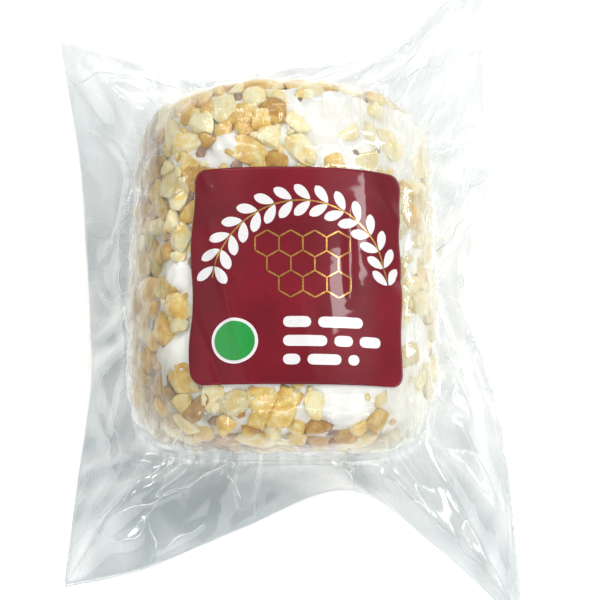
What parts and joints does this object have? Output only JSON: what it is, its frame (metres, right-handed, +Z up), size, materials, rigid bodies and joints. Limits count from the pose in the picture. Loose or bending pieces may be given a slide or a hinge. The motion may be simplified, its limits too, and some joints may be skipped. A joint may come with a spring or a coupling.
{
  "type": "vacuum packed goat cheese log",
  "caption": "Short thick log of fresh goat cheese coated in chopped nuts, sealed in a clear vacuum bag with a dark red label over the top.",
  "frame": {"origin": "on the table, under the middle of the bag's outline", "axes": "+Z up, +Y along the log towards the bag's far end, +X across the log to the right as one reads the label"},
  "size_m": [0.104, 0.147, 0.0553],
  "materials": {
    "vacuum_bag": "white cheese and cream to golden chopped nuts under clear glossy film",
    "label": "dark red glossy printed paper"
  },
  "bodies": {
    "root": {"vacuum_bag": "vacuum_bag", "label": "label"}
  },
  "joints": []
}
